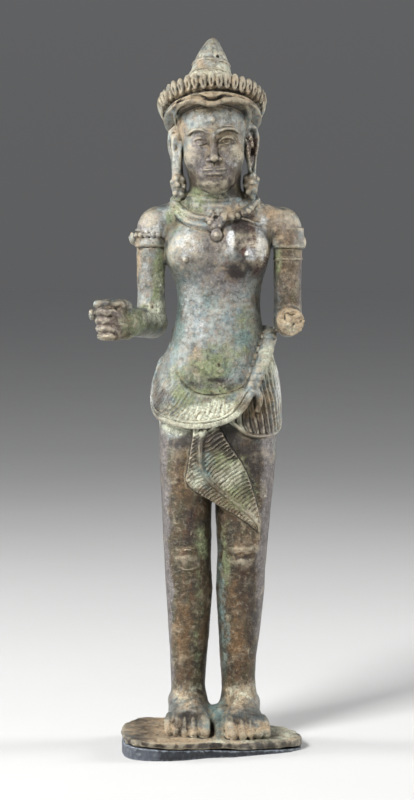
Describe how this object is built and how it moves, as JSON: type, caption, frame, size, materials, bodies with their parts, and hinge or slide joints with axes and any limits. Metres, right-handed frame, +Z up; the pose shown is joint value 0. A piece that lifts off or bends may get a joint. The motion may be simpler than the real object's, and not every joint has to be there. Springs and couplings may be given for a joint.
{
  "type": "standing deity statuette",
  "caption": "Cast bronze standing deity with conical crown and pleated waist cloth, one forearm broken off, on a thin cast slab and a dark levelling wedge.",
  "frame": {"origin": "middle of the wedge's underside, on the surface that it stands on", "axes": "+Z up along the figure; the figure faces -Y; +X to the figure's left"},
  "size_m": [0.0733, 0.0528, 0.2381],
  "materials": {
    "bronze": "old bronze, worn silvery on the high parts, with brown, green and ochre patina in the low ones",
    "wedge_stone": "dark slate grey, dull, with light chips along its top edge"
  },
  "bodies": {
    "root": {"figure": "bronze", "wedge": "wedge_stone"}
  },
  "joints": []
}
